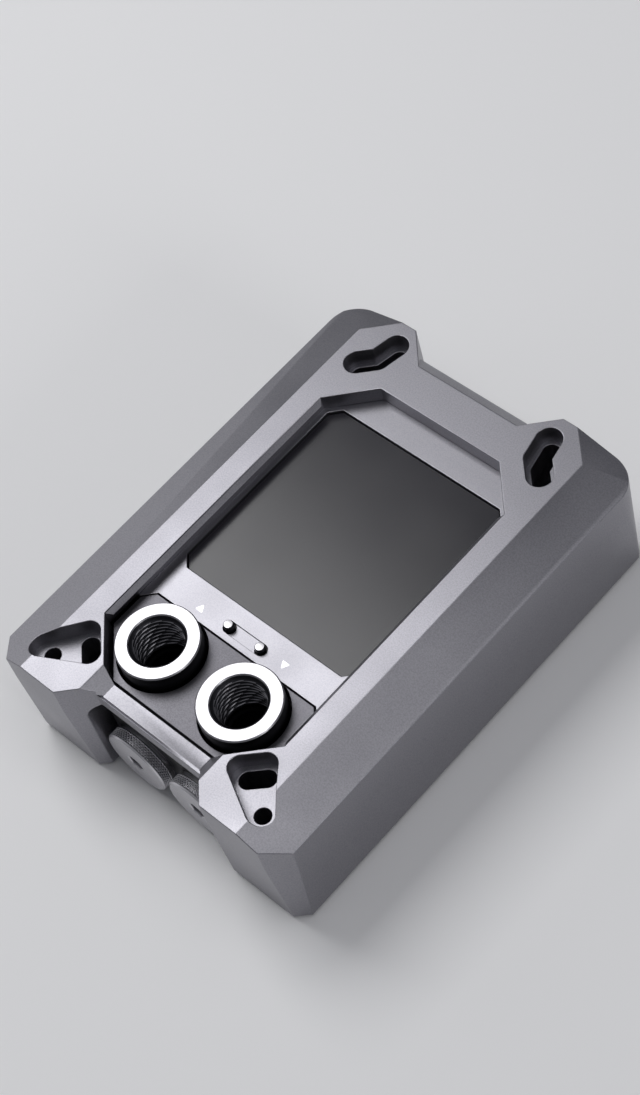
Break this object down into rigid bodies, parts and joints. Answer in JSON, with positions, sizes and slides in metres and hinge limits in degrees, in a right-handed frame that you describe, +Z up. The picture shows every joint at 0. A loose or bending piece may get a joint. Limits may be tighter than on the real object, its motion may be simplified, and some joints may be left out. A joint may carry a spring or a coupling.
{
  "type": "cpu water block",
  "caption": "Processor water block: bevelled full metal cover with screen, tall threaded ports on top, plugged front ports, copper cold plate below.",
  "frame": {"origin": "centre of the copper face that meets the processor, below the middle of the cover", "axes": "+Z up from the processor, +Y to the rear notch, away from the ports, +X across"},
  "size_m": [0.0884, 0.1204, 0.0354],
  "materials": {
    "cover_aluminium": "bead blasted and anodised grey",
    "plate_aluminium": "fine blasted and anodised light grey",
    "screen_glass": "smoked and polished",
    "display": "semi gloss",
    "sheet_steel": "rolled",
    "circuit_board": "green solder mask",
    "socket_steel": "drawn and plated",
    "block_aluminium": "fine blasted and anodised dark grey",
    "collar_brass": "plated black, top face turned bright",
    "seal_rubber": "moulded",
    "acetal": "milled black",
    "copper": "milled and lapped",
    "plug_brass": "turned and satin plated",
    "pin_steel": "blackened, top face cut bright",
    "bush_plastic": "moulded black",
    "screw_steel": "black oxide"
  },
  "bodies": {
    "root": {"outer_cover": "cover_aluminium", "face_plate": "plate_aluminium", "screen_glass": "screen_glass", "display_module": "display", "display_bracket": "sheet_steel", "control_board": "circuit_board", "data_socket": "socket_steel", "port_block": "block_aluminium", "port_bushing_left": "collar_brass", "port_bushing_right": "collar_brass", "bushing_seal_left": "seal_rubber", "bushing_seal_right": "seal_rubber", "manifold_body": "acetal", "jet_plate": "sheet_steel", "cold_plate": "copper", "cold_plate_seal": "seal_rubber", "plug_left": "plug_brass", "plug_right": "plug_brass", "plug_seal_left": "seal_rubber", "plug_seal_right": "seal_rubber", "contact_pin_left": "pin_steel", "contact_pin_right": "pin_steel", "pin_bush_left": "bush_plastic", "pin_bush_right": "bush_plastic", "cold_plate_screws": "screw_steel", "cover_screws": "screw_steel", "port_block_screws": "screw_steel", "face_plate_screws": "screw_steel", "bracket_screws": "screw_steel", "board_screws": "screw_steel"}
  },
  "joints": []
}
